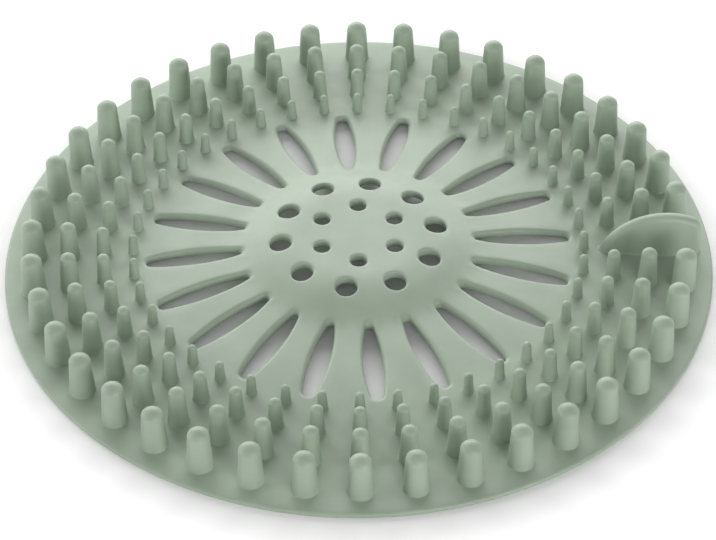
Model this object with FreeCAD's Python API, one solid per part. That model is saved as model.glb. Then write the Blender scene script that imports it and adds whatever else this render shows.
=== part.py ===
import FreeCAD, Part
import math
import os

# A soft silicone hair catcher that lies over a sink or shower drain, moulded in one piece.
# Lengths are in millimetres and angles in degrees. The disc's axis is Z, the flat band of
# its underside lies on z = 0 and the lift tab stands at +X. Sizes run from the axis outwards.

# Dish: a level crown, a shoulder down to the waist, and a sloping apron that thins towards a
# flat flange
wall = 1.6
flange_wall = 1.0
crown_rise = 4.7
waist_rise = 1.9
crown_margin = 0.8
shoulder_width = 6.3
crown_bend = 22.0
waist_bend = 10.5
band_bend = 18.0
band_inset = 0.9
rim_top_round = 0.5
rim_foot_round = 0.3

# Round drain holes in the crown, on two circles
inner_hole_count = 6
inner_hole_diameter = 3.0
inner_hole_circle = 7.7
inner_hole_first_angle = 90.0
outer_hole_count = 10
outer_hole_diameter = 4.0
outer_hole_circle = 14.4
outer_hole_first_angle = 81.0

# Spindle-shaped drain slots, which start at the waist and leave ribs between them
slot_count = 20
slot_width = 3.6
slot_side_radius = 37.7
slot_inner_end_radius = 0.8
slot_outer_end_radius = 1.1
slot_first_angle = 4.5

# Studs in radial rows, on four circles that step outwards from the slots. Each is an upright,
# tapered peg with a flattened dome for a tip.
row_count = 40
inner_ring_gap = 2.35
third_ring_step = 5.4
second_ring_step = 6.3
outer_ring_step = 6.6
rim_margin = 5.3
inner_stud_base = 2.0
inner_stud_tip = 1.5
inner_stud_height = 3.95
third_stud_base = 2.85
third_stud_tip = 2.2
third_stud_height = 6.15
second_stud_base = 3.7
second_stud_tip = 2.8
second_stud_height = 7.8
outer_stud_base = 4.6
outer_stud_tip = 3.8
outer_stud_height = 8.4
stud_dome_share = 0.8
stud_shoulder_share = 0.55
rim_seam_gap = 0.8

# Lift tab: a half-moon fin, cut off square at its outer end, that bends about its foot
tab_thickness = 2.3
tab_height = 9.9
tab_arc_radius = 12.7
tab_crest_setback = 6.6
tab_overhang = 3.1
tab_corner_radius = 2.8
tab_edge_round = 1.05
tab_swing = 35.0
tab_root_margin = 0.3
tab_root_web = 0.4
hinge_clearance = 0.15

# How far a cutting shape runs past the face that it cuts, and how near counts as touching
overrun = 2.0
touch = 0.001

# Circles worked out from the sizes above
crown_edge = outer_hole_circle + crown_margin
waist_circle = crown_edge + shoulder_width
slot_half_width = slot_width / 2
slot_core = slot_side_radius - slot_half_width
slot_inner_reach = math.sqrt((slot_side_radius - slot_inner_end_radius) ** 2 - slot_core ** 2)
slot_outer_reach = math.sqrt((slot_side_radius - slot_outer_end_radius) ** 2 - slot_core ** 2)
rib_inner_circle = waist_circle + slot_inner_end_radius
slot_widest_circle = rib_inner_circle + slot_inner_reach
rib_outer_circle = slot_widest_circle + slot_outer_reach
slot_end_circle = rib_outer_circle + slot_outer_end_radius
inner_ring = slot_end_circle + inner_ring_gap
third_ring = inner_ring + third_ring_step
second_ring = third_ring + second_ring_step
outer_ring = second_ring + outer_ring_step
disc_radius = outer_ring + rim_margin
band_circle = second_ring + band_inset
rim_seam = outer_ring + outer_stud_base / 2 + rim_seam_gap
apron_slope = (waist_rise + wall - flange_wall) / (band_circle - waist_circle)
cutter_height = crown_rise + wall + overrun * 2


def point(x, z):
    return FreeCAD.Vector(x, 0, z)


def rounded_outline(corners):
    # A closed outline in the XZ plane. Each corner is x, z and the radius of its bend.
    places = [point(x, z) for x, z, bend in corners]
    pairs = []
    for index, (x, z, bend) in enumerate(corners):
        here = places[index]
        back = (places[index - 1] - here).normalize()
        ahead = (places[(index + 1) % len(places)] - here).normalize()
        half_angle = back.getAngle(ahead) / 2
        reach = bend / math.tan(half_angle)
        middle = here
        if bend:
            inward = (back + ahead).normalize()
            middle = here + inward * (bend / math.sin(half_angle) - bend)
        pairs.append((here + back * reach, middle, here + ahead * reach, bend))
    edges = []
    for index, (start, middle, end, bend) in enumerate(pairs):
        before = pairs[index - 1][2]
        edges.append(Part.LineSegment(before, start).toShape())
        if bend:
            edges.append(Part.Arc(start, middle, end).toShape())
    return Part.Face(Part.Wire(edges))


def turned(face):
    return face.revolve(FreeCAD.Vector(), FreeCAD.Vector(0, 0, 1), 360)


def around(shape, angle):
    copy = shape.copy()
    copy.rotate(FreeCAD.Vector(), FreeCAD.Vector(0, 0, 1), angle)
    return copy


def tube(inner, outer):
    # An upright tube, taller than the dish, that takes one zone out of it.
    foot = FreeCAD.Vector(0, 0, -overrun)
    body = Part.makeCylinder(outer, cutter_height, foot)
    if inner:
        body = body.cut(Part.makeCylinder(inner, cutter_height, foot))
    return body


def upper_profile():
    # The dish's upper face from the axis to the rim, as corners with their bends.
    return [
        (0, crown_rise + wall, 0),
        (crown_edge, crown_rise + wall, crown_bend),
        (waist_circle, waist_rise + wall, waist_bend),
        (band_circle, flange_wall, band_bend),
        (disc_radius, flange_wall, rim_top_round),
    ]


def dish():
    underside = [
        (disc_radius, 0, rim_foot_round),
        (band_circle, 0, band_bend),
        (waist_circle, waist_rise, waist_bend),
        (crown_edge, crown_rise, crown_bend),
        (0, crown_rise, 0),
    ]
    return turned(rounded_outline(upper_profile() + underside))


def ground():
    # All that lies under the dish's upper face: what stands on the dish is trimmed with it.
    below = [(disc_radius, -overrun, 0), (0, -overrun, 0)]
    return turned(rounded_outline(upper_profile() + below))


def slot_cutter():
    # Two shallow side arcs that run into a small round end inwards and a larger one outwards.
    inner_share = slot_inner_end_radius / (slot_side_radius - slot_inner_end_radius)
    outer_share = slot_outer_end_radius / (slot_side_radius - slot_outer_end_radius)
    inner_x = slot_widest_circle - slot_inner_reach * (1 + inner_share)
    outer_x = slot_widest_circle + slot_outer_reach * (1 + outer_share)
    inner_y = slot_core * inner_share
    outer_y = slot_core * outer_share
    near_left = FreeCAD.Vector(inner_x, inner_y, -overrun)
    near_right = FreeCAD.Vector(inner_x, -inner_y, -overrun)
    far_left = FreeCAD.Vector(outer_x, outer_y, -overrun)
    far_right = FreeCAD.Vector(outer_x, -outer_y, -overrun)
    left = FreeCAD.Vector(slot_widest_circle, slot_half_width, -overrun)
    right = FreeCAD.Vector(slot_widest_circle, -slot_half_width, -overrun)
    near_end = FreeCAD.Vector(waist_circle, 0, -overrun)
    far_end = FreeCAD.Vector(slot_end_circle, 0, -overrun)
    edges = [
        Part.Arc(near_left, left, far_left).toShape(),
        Part.Arc(far_left, far_end, far_right).toShape(),
        Part.Arc(far_right, right, near_right).toShape(),
        Part.Arc(near_right, near_end, near_left).toShape(),
    ]
    return Part.Face(Part.Wire(edges)).extrude(FreeCAD.Vector(0, 0, cutter_height))


def hole_cutters(count, diameter, circle, first_angle):
    drill = Part.makeCylinder(diameter / 2, cutter_height, FreeCAD.Vector(circle, 0, -overrun))
    return [around(drill, first_angle + 360 / count * index) for index in range(count)]


def drained_dish():
    slot = slot_cutter()
    cutters = [around(slot, slot_first_angle + 360 / slot_count * index) for index in range(slot_count)]
    cutters += hole_cutters(
        inner_hole_count, inner_hole_diameter, inner_hole_circle, inner_hole_first_angle)
    cutters += hole_cutters(
        outer_hole_count, outer_hole_diameter, outer_hole_circle, outer_hole_first_angle)
    return dish().cut(cutters)


def seat(radius):
    # Height of the dish's upper face on the apron or the flange.
    return flange_wall + max(band_circle - radius, 0) * apron_slope


def on_circle(centre, radius, angle):
    return centre + point(radius * math.cos(angle), radius * math.sin(angle))


def stud(radius, base, tip, height, under):
    # The dome is a shallow arc across the top that runs into a tighter one at the shoulder.
    half = tip / 2
    dome = half * stud_dome_share
    bend = half * stud_shoulder_share
    crown = ((half - bend) ** 2 + dome ** 2 - bend ** 2) / (dome - bend) / 2
    turn = math.atan2(crown - dome, half - bend)
    shoulder = point(half - bend, height - dome)
    centre = point(0, height - crown)
    path = [
        point(0, -wall),
        point(base / 2, -wall),
        point(base / 2, 0),
        on_circle(shoulder, bend, 0),
    ]
    edges = [Part.LineSegment(start, end).toShape() for start, end in zip(path, path[1:])]
    meeting = on_circle(shoulder, bend, turn)
    edges.append(Part.Arc(path[-1], on_circle(shoulder, bend, turn / 2), meeting).toShape())
    middle_angle = (turn + math.pi / 2) / 2
    edges.append(Part.Arc(meeting, on_circle(centre, crown, middle_angle), point(0, height)).toShape())
    edges.append(Part.LineSegment(point(0, height), path[0]).toShape())
    peg = turned(Part.Face(Part.Wire(edges)))
    peg.translate(point(radius, seat(radius)))
    return peg.cut(under)


def stud_ring(radius, base, tip, height, under):
    # One stud in each row, but none where the lift tab stands.
    peg = stud(radius, base, tip, height, under)
    foot_reach = radius + base / 2
    first = 1 if foot_reach > tab_inner_foot else 0
    return Part.makeCompound([around(peg, 360 / row_count * row) for row in range(first, row_count)])


# Places on the lift tab. Its outline is part of a circle, with one rounded corner.
tab_outer_end = outer_ring + tab_overhang
tab_crest = tab_outer_end - tab_crest_setback
tab_arc_level = tab_height - tab_arc_radius
tab_corner_x = tab_outer_end - tab_corner_radius
tab_corner_span = tab_arc_radius - tab_corner_radius
tab_corner_level = tab_arc_level + math.sqrt(tab_corner_span ** 2 - (tab_corner_x - tab_crest) ** 2)
tab_inner_foot = tab_crest - math.sqrt(tab_arc_radius ** 2 - (flange_wall - tab_arc_level) ** 2)
tab_half = tab_thickness / 2
hinge_level = seat(tab_inner_foot) + tab_root_web + hinge_clearance + tab_half
tab_root_top = hinge_level - tab_half * math.tan(math.radians(tab_swing / 2)) - hinge_clearance


def tab_face(level, half):
    # The fin's outline above a level, on its near side.
    start_x = tab_crest - math.sqrt(tab_arc_radius ** 2 - (level - tab_arc_level) ** 2)
    toward_corner = point(tab_corner_x - tab_crest, tab_corner_level - tab_arc_level)
    toward_corner.normalize()
    middle_angle = math.pi / 4
    outline = [
        Part.Arc(
            point(start_x, level),
            point(tab_crest, tab_height),
            point(tab_crest, tab_arc_level) + toward_corner * tab_arc_radius).toShape(),
        Part.Arc(
            point(tab_crest, tab_arc_level) + toward_corner * tab_arc_radius,
            point(tab_corner_x + tab_corner_radius * math.cos(middle_angle),
                  tab_corner_level + tab_corner_radius * math.sin(middle_angle)),
            point(tab_outer_end, tab_corner_level)).toShape(),
        Part.LineSegment(point(tab_outer_end, tab_corner_level), point(tab_outer_end, level)).toShape(),
        Part.LineSegment(point(tab_outer_end, level), point(start_x, level)).toShape(),
    ]
    face = Part.Face(Part.Wire(outline))
    face.translate(FreeCAD.Vector(0, -half, 0))
    return face


def bead(radius, start, end):
    # A round bar on the line that the tab bends about.
    return Part.makeCylinder(radius, end - start, point(start, hinge_level), FreeCAD.Vector(1, 0, 0))


def lift_tab():
    plate = tab_face(hinge_level, tab_half).extrude(FreeCAD.Vector(0, tab_thickness, 0))
    inner_end = plate.BoundBox.XMin
    rim_edges = []
    for edge in plate.Edges:
        middle = edge.CenterOfMass
        if abs(abs(middle.y) - tab_half) < touch and middle.z > hinge_level + touch:
            rim_edges.append(edge)
    plate = plate.makeFillet(tab_edge_round, rim_edges)
    foot = bead(tab_half, inner_end + tab_edge_round, tab_outer_end - tab_edge_round)
    return plate.fuse(foot).removeSplitter()


def tab_root(under):
    # The low ridge under the tab, hollowed along its top for the tab's round foot.
    half = tab_half + tab_root_margin
    block = tab_face(0, half).extrude(FreeCAD.Vector(0, half * 2, 0))
    keep = Part.makeBox(
        disc_radius, half * 2, tab_root_top, FreeCAD.Vector(0, -half, 0))
    groove = bead(tab_half + hinge_clearance, 0, disc_radius)
    return block.common(keep).cut(groove).cut(under)


def build():
    under = ground()
    drained = drained_dish()
    return {
        "crown_plate": drained.common(tube(0, rib_inner_circle)),
        "strainer_ribs": drained.common(tube(rib_inner_circle, rib_outer_circle)),
        "stud_flange": drained.common(tube(rib_outer_circle, rim_seam)),
        "rim_lip": drained.common(tube(rim_seam, disc_radius + overrun)),
        "inner_studs": stud_ring(inner_ring, inner_stud_base, inner_stud_tip, inner_stud_height, under),
        "third_studs": stud_ring(third_ring, third_stud_base, third_stud_tip, third_stud_height, under),
        "second_studs": stud_ring(second_ring, second_stud_base, second_stud_tip, second_stud_height, under),
        "outer_studs": stud_ring(outer_ring, outer_stud_base, outer_stud_tip, outer_stud_height, under),
        "tab_root": tab_root(under),
        "lift_tab": lift_tab(),
    }


print("disc diameter", round(disc_radius * 2, 3), "tab bends about a line at z", round(hinge_level, 3))
os.makedirs("parts", exist_ok=True)
for name, shape in build().items():
    shape.exportStep("parts/" + name + ".step")
    box = shape.BoundBox
    print(name, "solids", len(shape.Solids), "valid", shape.isValid(), "volume", round(shape.Volume, 1),
          "from", round(box.XMin, 2), round(box.YMin, 2), round(box.ZMin, 2),
          "to", round(box.XMax, 2), round(box.YMax, 2), round(box.ZMax, 2))
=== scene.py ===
import bmesh
import bpy
import math
from mathutils import Matrix, Vector


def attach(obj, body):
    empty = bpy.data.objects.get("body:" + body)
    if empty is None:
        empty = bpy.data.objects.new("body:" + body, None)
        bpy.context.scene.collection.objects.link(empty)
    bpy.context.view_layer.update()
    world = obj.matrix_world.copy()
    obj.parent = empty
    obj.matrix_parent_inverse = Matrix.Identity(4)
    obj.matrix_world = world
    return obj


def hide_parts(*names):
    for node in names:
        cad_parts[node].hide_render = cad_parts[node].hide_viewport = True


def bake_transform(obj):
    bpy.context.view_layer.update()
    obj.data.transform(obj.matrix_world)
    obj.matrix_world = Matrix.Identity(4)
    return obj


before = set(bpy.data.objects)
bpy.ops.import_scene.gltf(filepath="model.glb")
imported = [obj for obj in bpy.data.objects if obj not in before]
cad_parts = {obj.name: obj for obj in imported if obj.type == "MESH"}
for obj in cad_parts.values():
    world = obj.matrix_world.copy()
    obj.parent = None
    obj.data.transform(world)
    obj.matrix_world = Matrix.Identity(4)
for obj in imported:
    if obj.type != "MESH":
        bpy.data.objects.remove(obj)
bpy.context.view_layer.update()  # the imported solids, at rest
mm = 0.001
acrossX, upZ = Vector((1, 0, 0)), Vector((0, 0, 1))
origin = Vector((0, 0, 0))
nearlySame = 0.005 * mm  # points closer than this are one point
sameAngle = 0.1  # degrees, for points on one line from the axis
print("frame loaded:", len(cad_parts), "solids to dress")


# Camera: a long lens, 42 degrees above the floor
photoCamera = {"lens": 128.03, "sensor": 36.0, "elevation": 42.051, "distance": 466.95,
               "aim": (-0.144, -4.182, 0.7), "roll": -0.493, "clip": 10.0}  # mm, degrees


def placeCamera(values):
    tilt = math.radians(values["elevation"])
    back = Vector((0, -math.cos(tilt), math.sin(tilt)))
    place = (Vector(values["aim"]) + back * values["distance"]) * mm
    roll = Matrix.Rotation(math.radians(values["roll"]), 3, "Z")
    turn = (-back).to_track_quat("-Z", "Y").to_matrix() @ roll
    bpy.ops.object.camera_add(location=place, rotation=turn.to_euler())
    camera = bpy.context.object
    camera.name = "photoCamera"
    camera.data.lens = values["lens"]
    camera.data.sensor_width = values["sensor"]
    camera.data.clip_start = values["clip"] * mm
    bpy.context.scene.camera = camera


placeCamera(photoCamera)
print("camera placed")


# Tools of the bench

def newPiece(name):  # an empty mesh, open for editing, with nothing else selected
    bpy.ops.object.select_all(action="DESELECT")
    bpy.ops.mesh.primitive_plane_add(size=mm)
    piece = bpy.context.object
    piece.name = piece.data.name = name
    bpy.ops.object.mode_set(mode="EDIT")
    bpy.ops.mesh.delete(type="VERT")
    return piece


def pick(kind, wanted):  # selects points, edges or faces by a test on each
    bpy.ops.mesh.select_mode(type=kind)
    bpy.ops.mesh.select_all(action="DESELECT")
    mesh = bpy.context.object.data
    shape = bmesh.from_edit_mesh(mesh)
    parts = {"VERT": shape.verts, "EDGE": shape.edges, "FACE": shape.faces}[kind]
    for part in parts:
        if not part.hide and wanted(part):
            part.select_set(True)
    shape.select_flush_mode()
    bmesh.update_edit_mesh(mesh)


def weld():  # merges what is in view and turns its faces outwards
    bpy.ops.mesh.select_all(action="SELECT")
    bpy.ops.mesh.remove_doubles(threshold=nearlySame)
    bpy.ops.mesh.normals_make_consistent(inside=False)


def drawLine(start, heading, along, up, moves):
    # Extrudes one point along a line: a move is a length, or a bend's radius, turn and steps.
    place, axis = Vector(start), along.cross(up)
    bpy.ops.mesh.primitive_plane_add(size=mm, location=place)
    bpy.ops.mesh.merge(type="CENTER")
    for move in moves:
        ahead = along * math.cos(heading) + up * math.sin(heading)
        if len(move) == 1:
            step = ahead * move[0] * mm
            bpy.ops.mesh.extrude_vertices_move(TRANSFORM_OT_translate={"value": step})
            place = place + step
        else:
            radius, turn, steps = move
            centre = place + axis.cross(ahead) * math.copysign(radius * mm, turn)
            bpy.ops.mesh.spin(steps=steps, angle=-turn, center=centre, axis=axis)  # spin turns clockwise
            place = centre + Matrix.Rotation(turn, 3, axis) @ (place - centre)
            heading += turn


def bentLine(corners, steps):  # corners with a bend radius each, as moves for drawLine
    moves, used = [], 0
    for (x0, z0, _), (x1, z1, bend), (x2, z2, _) in zip(corners, corners[1:], corners[2:]):
        turn = math.atan2(z2 - z1, x2 - x1) - math.atan2(z1 - z0, x1 - x0)
        reach = bend * math.tan(abs(turn) / 2)
        moves += [(math.hypot(x1 - x0, z1 - z0) - used - reach,), (bend, turn, steps)]
        used = reach
    (x0, z0, _), (x1, z1, _) = corners[-2:]
    return moves + [(math.hypot(x1 - x0, z1 - z0) - used,)]


def layOn(piece, former, names=""):  # drops points straight onto another surface
    bpy.ops.object.select_all(action="DESELECT")
    bpy.context.view_layer.objects.active = piece
    bpy.ops.object.modifier_add(type="SHRINKWRAP")
    lay = piece.modifiers[-1]
    lay.target, lay.vertex_group = former, names
    lay.wrap_method, lay.use_project_z, lay.use_negative_direction = "PROJECT", True, True
    bpy.ops.object.modifier_apply(modifier=lay.name)


def copyRound(count):  # repeats what is selected, evenly round the axis
    others = count - 1
    bpy.ops.mesh.spin(steps=others, dupli=True, angle=math.tau * others / count, center=origin, axis=upZ)


def finishPiece(piece):
    if bpy.context.object.mode == "EDIT":
        bpy.ops.object.mode_set(mode="OBJECT")
    bpy.ops.object.select_all(action="DESELECT")
    piece.select_set(True)
    bpy.context.view_layer.objects.active = piece
    bpy.ops.object.shade_smooth()
    print(piece.name, "made:", len(piece.data.polygons), "faces")


# Dish: one perforated sheet, drawn flat, laid on a former and given its wall
dish = {
    "upper": [(0, 6.3, 0), (15.2, 6.3, 22.0), (21.5, 3.5, 10.5), (54.006, 1.0, 18.0), (70.0, 1.0, 0)],
    "under": [(0, 4.7, 0), (15.2, 4.7, 22.0), (21.5, 1.9, 10.5), (54.006, 0, 18.0), (70.0, 0, 0)],
    "rim": 65.006, "steps": 240, "bendSteps": 12, "sink": 0.5, "sharp": 1.0,
    "rimTopRound": (0.5, 5), "rimFootRound": (0.3, 3), "slotRound": (0.75, 6),
    "holeRound": (0.45, 4), "underRound": (0.25, 2),  # width and segments of each rounded edge
    "zones": (4.2, 10.8, 18.6, 41.4),  # circles round the centre, the two rings of holes and the slots
    "flangeRings": (42.6, 44.7, 46.9, 49.1, 51.2, 53.2, 53.6, 54.0, 54.4, 54.8, 56.8, 59.2, 61.2, 63.2),
}  # upper and under are corners of the two faces: radius, height, bend
innerHoles = {"count": 6, "circle": 7.7, "radius": 1.5, "angle": 90.0, "sides": 6, "rows": 2}
outerHoles = {"count": 10, "circle": 14.4, "radius": 2.0, "angle": 81.0, "sides": 8, "rows": 2}
slots = {"count": 20, "widest": 30.832, "halfWidth": 1.8, "sideRadius": 37.7, "angle": 4.5,
         "innerEnd": 22.300, "innerRadius": 0.8, "outerEnd": 37.956, "outerRadius": 1.1,
         "sideSteps": 24, "endSteps": 8, "sides": 20, "rows": 1}


def bearing(point, middle):  # degrees round the axis from a middle line
    away = math.degrees(math.atan2(point.y, point.x)) - middle
    return (away + 180) % 360 - 180


def outward(angle):
    return Vector((math.cos(math.radians(angle)), math.sin(math.radians(angle)), 0))


def drawSector(opening, inner, outer):  # the border of one opening's share of the sheet
    half = 180 / opening["count"]
    for radius in (inner, outer):
        bpy.ops.mesh.primitive_circle_add(vertices=dish["steps"], radius=radius * mm)
    pick("VERT", lambda point: abs(bearing(point.co, opening["angle"])) > half + sameAngle)
    bpy.ops.mesh.delete(type="VERT")
    for side in (-half, half):
        pick("VERT", lambda point: abs(bearing(point.co, opening["angle"]) - side) < sameAngle)
        bpy.ops.mesh.edge_face_add()
        bpy.ops.mesh.subdivide(number_cuts=opening["sides"] - 1)
    return 2 * (dish["steps"] // opening["count"] + opening["sides"])  # points along the border


def repeatSector(opening):  # fills between border and opening, then copies it round and hides it
    bpy.ops.mesh.select_all(action="SELECT")
    bpy.ops.mesh.remove_doubles(threshold=nearlySame)
    bpy.ops.mesh.bridge_edge_loops(number_cuts=opening["rows"], interpolation="LINEAR")
    bpy.ops.mesh.select_all(action="SELECT")
    copyRound(opening["count"])
    bpy.ops.mesh.select_all(action="SELECT")
    bpy.ops.mesh.hide(unselected=False)


def drawHoles(opening, inner, outer):
    points = drawSector(opening, inner, outer)
    bpy.ops.mesh.primitive_circle_add(vertices=points, radius=opening["radius"] * mm,
                                      location=outward(opening["angle"]) * opening["circle"] * mm)
    repeatSector(opening)


def drawSlots(opening, inner, outer):  # two long side arcs and two small round ends
    drawSector(opening, inner, outer)
    along = outward(opening["angle"])
    aside = upZ.cross(along)
    reach = opening["sideRadius"] - opening["halfWidth"]
    innerTurn = math.atan2(opening["widest"] - opening["innerEnd"], reach)
    outerTurn = math.atan2(opening["outerEnd"] - opening["widest"], reach)
    fromEnd = -along * math.sin(innerTurn) - aside * math.cos(innerTurn)
    side = (opening["sideRadius"], innerTurn + outerTurn, opening["sideSteps"])
    start = (along * opening["innerEnd"] + fromEnd * opening["innerRadius"]) * mm
    drawLine(start, -innerTurn, along, aside, [
        side, (opening["outerRadius"], math.pi - 2 * outerTurn, opening["endSteps"]),
        side, (opening["innerRadius"], math.pi - 2 * innerTurn, opening["endSteps"])])
    repeatSector(opening)


def makeFormer(name, corners):  # one face of the dish as a plain turned surface
    former = newPiece(name)
    drawLine((0, 0, corners[0][1] * mm), 0, acrossX, upZ, bentLine(corners, dish["bendSteps"]))
    bpy.ops.mesh.select_all(action="SELECT")
    bpy.ops.mesh.spin(steps=dish["steps"], angle=math.tau, center=origin, axis=upZ)
    weld()
    bpy.ops.object.mode_set(mode="OBJECT")
    return former


def radiusOf(point):
    return math.hypot(point.x, point.y) / mm


def makeDish(upperFormer, underFormer):
    piece = newPiece("strainerDish")
    centre, holes, shoulder, apron = dish["zones"]
    bpy.ops.mesh.primitive_circle_add(vertices=dish["steps"], radius=centre * mm, fill_type="TRIFAN")
    bpy.ops.mesh.hide(unselected=False)
    drawHoles(innerHoles, centre, holes)
    drawHoles(outerHoles, holes, shoulder)
    drawSlots(slots, shoulder, apron)
    bpy.ops.mesh.primitive_circle_add(vertices=dish["steps"], radius=apron * mm)
    reached = apron
    for ring in dish["flangeRings"] + (dish["rim"],):
        bpy.ops.mesh.extrude_edges_move()
        bpy.ops.transform.resize(value=(ring / reached, ring / reached, 1), center_override=origin)
        reached = ring
    bpy.ops.mesh.reveal(select=True)
    weld()
    bpy.ops.object.mode_set(mode="OBJECT")
    layOn(piece, upperFormer)
    bpy.ops.object.mode_set(mode="EDIT")
    bpy.ops.mesh.select_all(action="SELECT")
    bpy.ops.mesh.extrude_region_move(TRANSFORM_OT_translate={"value": (0, 0, -dish["sink"] * mm)})
    bpy.ops.object.vertex_group_add()
    bpy.ops.object.vertex_group_assign()
    bpy.ops.object.mode_set(mode="OBJECT")
    layOn(piece, underFormer, piece.vertex_groups[0].name)
    piece.vertex_groups.clear()
    bpy.ops.object.mode_set(mode="EDIT")
    weld()
    beyond = dish["rim"] + 1
    roundEdges(dish["rimTopRound"], apron, beyond, 1)
    roundEdges(dish["rimFootRound"], apron, beyond, -1)
    roundEdges(dish["slotRound"], shoulder, apron, 1)
    roundEdges(dish["holeRound"], 0, shoulder, 1)
    roundEdges(dish["underRound"], 0, apron, -1)
    weld()
    finishPiece(piece)
    return piece


def bevel(width, segments):
    bpy.ops.mesh.bevel(offset=width * mm, segments=segments, profile=0.5, affect="EDGES", clamp_overlap=False)


def roundEdges(rounding, inner, outer, facing):  # facing 1 takes upper edges, -1 lower ones
    def wanted(edge):
        level = any(face.normal.z * facing > 0.5 for face in edge.link_faces)
        between = all(inner < radiusOf(point.co) < outer for point in edge.verts)
        return level and between and edge.calc_face_angle(0) > dish["sharp"]
    pick("EDGE", wanted)
    bevel(*rounding)


formers = [makeFormer("upperFormer", dish["upper"]), makeFormer("underFormer", dish["under"])]
strainerDish = makeDish(*formers)
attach(strainerDish, "strainer")
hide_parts("crown_plate", "strainer_ribs", "stud_flange", "rim_lip")


# Studs: each ring's stud is drawn up from a round face once, set on the dish and copied round
innerStud = {"base": 2.0, "tip": 1.5, "height": 3.95, "foot": 0.15, "sides": 14,
             "ring": 41.406, "seat": 1.969, "slope": 4.397, "row": "whole"}
thirdStud = {"base": 2.85, "tip": 2.2, "height": 6.15, "foot": 0.18, "sides": 16,
             "ring": 46.806, "seat": 1.554, "slope": 4.397, "row": "open"}
secondStud = {"base": 3.7, "tip": 2.8, "height": 7.8, "foot": 0.2, "sides": 20,
              "ring": 53.106, "seat": 1.069, "slope": 4.397, "row": "open"}
outerStud = {"base": 4.6, "tip": 3.8, "height": 8.4, "foot": 0.2, "sides": 24,
             "ring": 59.706, "seat": 1.0, "slope": 0.0, "row": "open"}
studRows = 40
studSunk = 0.4  # how far a stud reaches into the dish
studLift = -0.01  # its fillet runs out just under the dish's face
domeShare, shoulderShare = 0.8, 0.55  # a tip's rise and the bend of its shoulder, of half its width
footSteps, shoulderSteps, crownSteps = (0.35, 0.7, 1.0), (0, 0.33, 0.67, 1.0), (0.4, 0.75)  # along each curve


def studRings(values):  # radius and height of each ring, from the foot up to the domed tip
    base, half, foot = values["base"] / 2, values["tip"] / 2, values["foot"]
    rise, bend = half * domeShare, half * shoulderShare
    shoulder = values["height"] - rise
    rings = [(base + foot, 0)]
    for step in footSteps:
        curve = step * math.pi / 2
        lift = foot * (1 - math.cos(curve))
        rings.append((base + foot * (1 - math.sin(curve)) - (base - half) * lift / shoulder, lift))
    crown = ((half - bend) ** 2 + rise ** 2 - bend ** 2) / (rise - bend) / 2  # radius across the top
    turn = math.atan2(crown - rise, half - bend)
    for step in shoulderSteps:
        rings.append((half - bend + bend * math.cos(turn * step), shoulder + bend * math.sin(turn * step)))
    for step in crownSteps:
        curve = turn + (math.pi / 2 - turn) * step
        rings.append((crown * math.cos(curve), values["height"] - crown + crown * math.sin(curve)))
    return rings


def makeStuds(name, node, values):
    piece = newPiece(name)
    rings = studRings(values)
    radius, level = rings[0][0], -studSunk
    bpy.ops.mesh.primitive_circle_add(vertices=values["sides"], radius=radius * mm, fill_type="NGON",
                                      location=(0, 0, level * mm))
    for nextRadius, nextLevel in rings:
        bpy.ops.mesh.extrude_region_move(TRANSFORM_OT_translate={"value": (0, 0, (nextLevel - level) * mm)})
        share = nextRadius / radius
        bpy.ops.transform.resize(value=(share, share, 1), center_override=(0, 0, nextLevel * mm))
        radius, level = nextRadius, nextLevel
    last = (0, 0, (values["height"] - level) * mm)
    bpy.ops.mesh.extrude_region_move(TRANSFORM_OT_translate={"value": last})
    bpy.ops.mesh.merge(type="CENTER")
    weld()
    pick("VERT", lambda point: point.co.z < values["foot"] * mm + nearlySame)
    bpy.ops.transform.rotate(value=math.radians(-values["slope"]), orient_axis="Y", center_override=origin)
    bpy.ops.mesh.select_all(action="SELECT")
    bpy.ops.transform.translate(value=(values["ring"] * mm, 0, (values["seat"] + studLift) * mm))
    copyRound(studRows)
    if values["row"] == "open":  # the lift tab stands in this row
        pick("VERT", lambda point: abs(bearing(point.co, 0)) < 180 / studRows)
        bpy.ops.mesh.delete(type="VERT")
    bpy.ops.mesh.select_all(action="SELECT")
    bpy.ops.mesh.normals_make_consistent(inside=False)
    finishPiece(piece)
    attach(piece, "strainer")
    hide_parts(node)
    return piece


studPieces = [
    makeStuds("innerStuds", "inner_studs", innerStud),
    makeStuds("thirdStuds", "third_studs", thirdStud),
    makeStuds("secondStuds", "second_studs", secondStud),
    makeStuds("outerStuds", "outer_studs", outerStud),
]


# Lift tab: a half-moon fin, drawn from the side, that runs out into the dish along its foot
tab = {"thickness": 2.3, "height": 9.9, "arcRadius": 12.7, "crest": 56.206, "outerEnd": 62.806,
       "cornerRadius": 2.8, "edgeRound": (1.05, 5), "bottom": 0.7, "runOut": 0.8, "flare": 0.3,
       "runOutSteps": 10, "arcSteps": 36, "cornerSteps": 8, "rowReach": 0.01,
       "flareRows": (0.0, 0.03, 0.09, 0.18, 0.3), "bendRows": (2.9, 3.4, 3.9, 4.4, 4.9, 5.4),
       "columns": (43.6, 44.4, 45.4, 46.6, 48.2, 50.0, 52.0, 53.2, 54.0, 54.8, 56.4, 58.2, 60.0, 61.4),
       "bendFrom": 2.5, "bendTo": 5.0}
apronStart, apronEnd, flangeLevel = dish["upper"][2], dish["upper"][3], dish["upper"][3][1]
apronTilt = math.atan2(apronStart[1] - flangeLevel, apronEnd[0] - apronStart[0])


def dishLevel(x):  # height of the dish's upper face where the tab stands
    return flangeLevel + max(apronEnd[0] - x, 0) * math.tan(apronTilt)


def cutAcross(place, facing):  # adds a row of points where a plane crosses the piece
    bpy.ops.mesh.select_mode(type="VERT")
    bpy.ops.mesh.select_all(action="SELECT")
    bpy.ops.mesh.bisect(plane_co=place, plane_no=facing, threshold=nearlySame)


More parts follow.
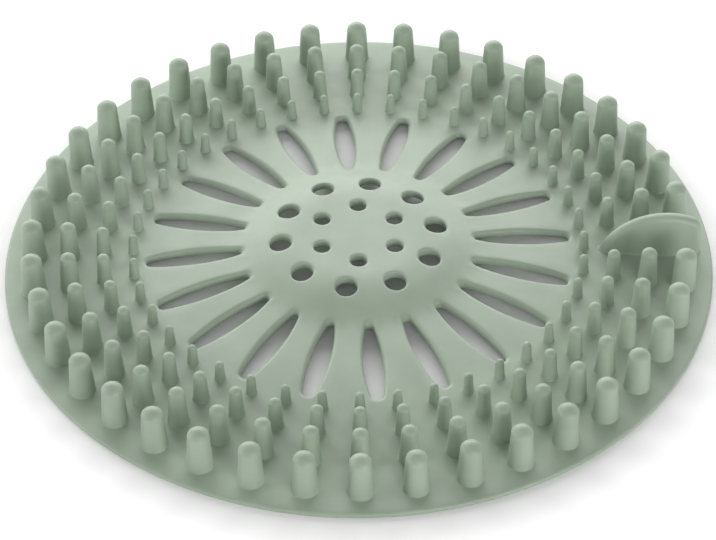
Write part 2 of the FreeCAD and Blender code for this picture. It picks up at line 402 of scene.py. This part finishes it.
def runOutStart(arcLevel):  # where the foot's hollow bend leaves the apron, and its turn
    bend, reach = tab["runOut"], tab["arcRadius"] + tab["runOut"]
    rise = flangeLevel + bend / math.cos(apronTilt) - arcLevel
    slope = math.tan(apronTilt)
    away = apronEnd[0] - tab["crest"]  # solves for the bend's centre, measured from the crest
    a, b, c = 1 + slope ** 2, -2 * slope * (rise + slope * away), (rise + slope * away) ** 2 - reach ** 2
    across = (-b - math.sqrt(b ** 2 - 4 * a * c)) / 2 / a
    up = rise + slope * (away - across)
    start = Vector((tab["crest"] + across - bend * math.sin(apronTilt), 0,
                    arcLevel + up - bend * math.cos(apronTilt)))
    return start, math.atan2(up, across)


def makeTab():
    piece = newPiece("liftTab")
    half, big, small = tab["thickness"] / 2, tab["arcRadius"], tab["cornerRadius"]
    arcLevel = tab["height"] - big
    cornerIn = tab["outerEnd"] - small - tab["crest"]
    cornerAngle = math.acos(cornerIn / (big - small))
    cornerLevel = arcLevel + (big - small) * math.sin(cornerAngle)
    start, meetAngle = runOutStart(arcLevel)
    climb = start.z - tab["bottom"]
    drawLine((start.x * mm, -half * mm, tab["bottom"] * mm), math.pi / 2, acrossX, upZ, [
        (climb,), (0, -math.pi / 2 - apronTilt, 1),
        (tab["runOut"], meetAngle - math.pi / 2 + apronTilt, tab["runOutSteps"]),
        (big, cornerAngle - meetAngle, tab["arcSteps"]), (small, -cornerAngle, tab["cornerSteps"]),
        (cornerLevel - tab["bottom"],)])
    bpy.ops.mesh.select_all(action="SELECT")
    bpy.ops.mesh.remove_doubles(threshold=nearlySame)
    bpy.ops.mesh.edge_face_add()
    bpy.ops.mesh.extrude_region_move(TRANSFORM_OT_translate={"value": (0, tab["thickness"] * mm, 0)})
    weld()

    def atRim(edge):  # edges of the two flat sides, but not along the bottom or the inner end
        low = min(point.co.z for point in edge.verts) < tab["bottom"] * mm + nearlySame
        flat = all(abs(abs(point.co.y) - half * mm) < nearlySame for point in edge.verts)
        outerEdge = min(point.co.x for point in edge.verts) > tab["crest"] * mm
        return flat and (outerEdge or not low) and edge.verts[0].co.y * edge.verts[1].co.y > 0
    pick("EDGE", atRim)
    bevel(*tab["edgeRound"])
    for x in tab["columns"]:
        cutAcross((x * mm, 0, 0), acrossX)
    for row in tab["flareRows"]:
        foot = (apronEnd[0] * mm, 0, (flangeLevel + row) * mm)
        cutAcross(foot, upZ)
        cutAcross(foot, Vector((math.sin(apronTilt), 0, math.cos(apronTilt))))
    for z in tab["bendRows"]:
        cutAcross((0, 0, z * mm), upZ)
    weld()
    for row in tab["flareRows"]:  # the foot flares into the dish along its sides and outer end
        pick("VERT", lambda point: abs(point.co.z / mm - dishLevel(point.co.x / mm) - row) < tab["rowReach"])
        away = tab["flare"] - math.sqrt(tab["flare"] ** 2 - (tab["flare"] - row) ** 2)
        reach = tab["outerEnd"] - start.x
        bpy.ops.transform.resize(value=((reach + away) / reach, (half + away) / half, 1),
                                 center_override=start * mm)
    finishPiece(piece)
    return piece


liftTab = makeTab()
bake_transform(liftTab)
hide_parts("lift_tab", "tab_root")
for former in formers:
    bpy.data.objects.remove(former)


# Materials

def linear(code):  # an sRGB hex colour as Blender's linear one
    parts = [int(code[i:i + 2], 16) / 255 for i in (1, 3, 5)]
    return [part / 12.92 if part <= 0.04045 else ((part + 0.055) / 1.055) ** 2.4 for part in parts] + [1]


def addNode(tree, kind, inputs=None, **settings):
    node = tree.nodes.new(kind)
    for name, value in settings.items():
        setattr(node, name, value)
    for name, value in (inputs or {}).items():
        if isinstance(value, bpy.types.NodeSocket):
            tree.links.new(value, node.inputs[name])
        else:
            node.inputs[name].default_value = value
    return node


def newMaterial(name):
    material = bpy.data.materials.new(name)
    material.use_nodes = True
    material.node_tree.nodes.clear()
    return material, material.node_tree


# Moulded silicone, dyed sage green: matte from the blasted mould, with a dull sheen and a faint bloom of
# lighter and darker green
silicone = {"light": "#abbaa8", "deep": "#a1b09e", "roughness": (0.42, 0.54), "ior": 1.47,
            "cloud": 9.0, "grain": 0.4, "grainDepth": 0.012, "bump": 0.6}  # sizes in mm
noiseLow, noiseHigh = 0.3, 0.7  # most of a noise texture's values lie between these


def makeSilicone():
    material, tree = newMaterial("mouldedSilicone")
    place = addNode(tree, "ShaderNodeTexCoord").outputs["Object"]
    cloud = addNode(tree, "ShaderNodeTexNoise", {"Vector": place, "Scale": 1 / (silicone["cloud"] * mm),
                                                 "Detail": 3.0, "Roughness": 0.55})
    grain = addNode(tree, "ShaderNodeTexNoise", {"Vector": place, "Scale": 1 / (silicone["grain"] * mm),
                                                 "Detail": 2.0, "Roughness": 0.6})
    tone = addNode(tree, "ShaderNodeMapRange", {
        "Value": cloud.outputs["Fac"], "From Min": noiseLow, "From Max": noiseHigh})
    colour = addNode(tree, "ShaderNodeMix", {0: tone.outputs["Result"], 6: linear(silicone["deep"]),
                                             7: linear(silicone["light"])}, data_type="RGBA")
    low, high = silicone["roughness"]
    rough = addNode(tree, "ShaderNodeMapRange", {
        "Value": grain.outputs["Fac"], "From Min": noiseLow, "From Max": noiseHigh,
        "To Min": low, "To Max": high})
    bump = addNode(tree, "ShaderNodeBump", {"Height": grain.outputs["Fac"], "Strength": silicone["bump"],
                                            "Distance": silicone["grainDepth"] * mm})
    surface = addNode(tree, "ShaderNodeBsdfPrincipled", {
        "Base Color": colour.outputs[2], "Roughness": rough.outputs["Result"], "IOR": silicone["ior"],
        "Normal": bump.outputs["Normal"]})
    addNode(tree, "ShaderNodeOutputMaterial", {"Surface": surface.outputs["BSDF"]})
    return material


mouldedSilicone = makeSilicone()
for piece in [strainerDish, liftTab] + studPieces:
    piece.data.materials.clear()
    piece.data.materials.append(mouldedSilicone)
print("silicone on", len(studPieces) + 2, "pieces")


# Studio: white paper in a dim white tent, a broad lamp behind, whose dull reflection greys the far half of
# the part, two low lamps that reach in between the studs, and a weak one in front for their tips
# The slot glow is painted light: the shaded paper seen through the slots is brightened, though no lamp lights
# it there
studio = {"paper": "#f7f7f7", "glow": 0.28, "glowFrom": 63.0, "glowTo": 72.0, "paintedSlotLight": 0.03,
          "paintedSlotLightFrom": 20.0, "paintedSlotLightTo": 26.0, "tent": 0.24, "floorSize": 6.0, "floorGap": 0.02}
lamps = {  # watts, and metres from the middle of the part
    "backLamp": {"power": 14.0, "size": (1.5, 0.75), "place": (-0.08, 0.88, 0.47)},
    "rightLamp": {"power": 4.4, "size": (0.55, 0.4), "place": (0.49, -0.85, 0.23)},
    "leftLamp": {"power": 3.7, "size": (0.55, 0.4), "place": (-0.98, 0.0, 0.23)},
    "fillLamp": {"power": 0.8, "size": (0.8, 0.5), "place": (0.0, -0.7, 0.7)},
}


def makeFloor():
    bpy.ops.object.select_all(action="DESELECT")
    bpy.ops.mesh.primitive_plane_add(size=studio["floorSize"], location=(0, 0, -studio["floorGap"] * mm))
    floor = bpy.context.object
    floor.name = "paperFloor"
    material, tree = newMaterial("studioPaper")
    sheet = addNode(tree, "ShaderNodeBsdfDiffuse", {"Color": linear(studio["paper"])})
    place = addNode(tree, "ShaderNodeTexCoord").outputs["Object"]
    away = addNode(tree, "ShaderNodeVectorMath", {0: place}, operation="LENGTH").outputs["Value"]
    nearby = addNode(tree, "ShaderNodeMapRange", {  # the paper is whitened round the part
        "Value": away, "From Min": studio["glowFrom"] * mm, "From Max": studio["glowTo"] * mm,
        "To Max": studio["glow"]}).outputs["Result"]
    paintedUnderSlots = addNode(tree, "ShaderNodeMapRange", {  # and painted light on the floor seen through the slots, which also adds a little to the paper beyond them
        "Value": away, "From Min": studio["paintedSlotLightFrom"] * mm, "From Max": studio["paintedSlotLightTo"] * mm,
        "To Max": studio["paintedSlotLight"]}).outputs["Result"]
    # the paper's white for the camera plus the painted light under the slots
    white = addNode(tree, "ShaderNodeMath", {0: nearby, 1: paintedUnderSlots}, operation="ADD").outputs[0]
    path = addNode(tree, "ShaderNodeLightPath").outputs
    mirrored = addNode(tree, "ShaderNodeMath", {0: path["Is Glossy Ray"], 1: path["Is Transmission Ray"]},
                       operation="MAXIMUM").outputs[0]
    seen = addNode(tree, "ShaderNodeMath", {0: path["Is Camera Ray"], 1: mirrored},
                   operation="MAXIMUM").outputs[0]
    strength = addNode(tree, "ShaderNodeMath", {0: white, 1: seen}, operation="MULTIPLY").outputs[0]
    glow = addNode(tree, "ShaderNodeEmission", {"Strength": strength})
    both = addNode(tree, "ShaderNodeAddShader", {0: sheet.outputs[0], 1: glow.outputs[0]})
    addNode(tree, "ShaderNodeOutputMaterial", {"Surface": both.outputs[0]})
    floor.data.materials.append(material)


def makeLamp(name, values):
    bpy.ops.object.light_add(type="AREA", location=values["place"])
    lamp = bpy.context.object
    lamp.name = name
    lamp.visible_camera = False
    lamp.data.energy = values["power"]
    lamp.data.shape = "RECTANGLE"
    lamp.data.size, lamp.data.size_y = values["size"]
    lamp.rotation_euler = (-Vector(values["place"])).to_track_quat("-Z", "Y").to_euler()


def makeLight():
    world = bpy.data.worlds.new("whiteTent")
    world.use_nodes = True
    tree = world.node_tree
    tree.nodes.clear()
    air = addNode(tree, "ShaderNodeBackground", {"Color": (1, 1, 1, 1), "Strength": studio["tent"]})
    addNode(tree, "ShaderNodeOutputWorld", {"Surface": air.outputs[0]})
    bpy.context.scene.world = world
    for name, values in lamps.items():
        makeLamp(name, values)


makeFloor()
makeLight()
bpy.context.scene.view_settings.view_transform = "Standard"
print("studio lit")
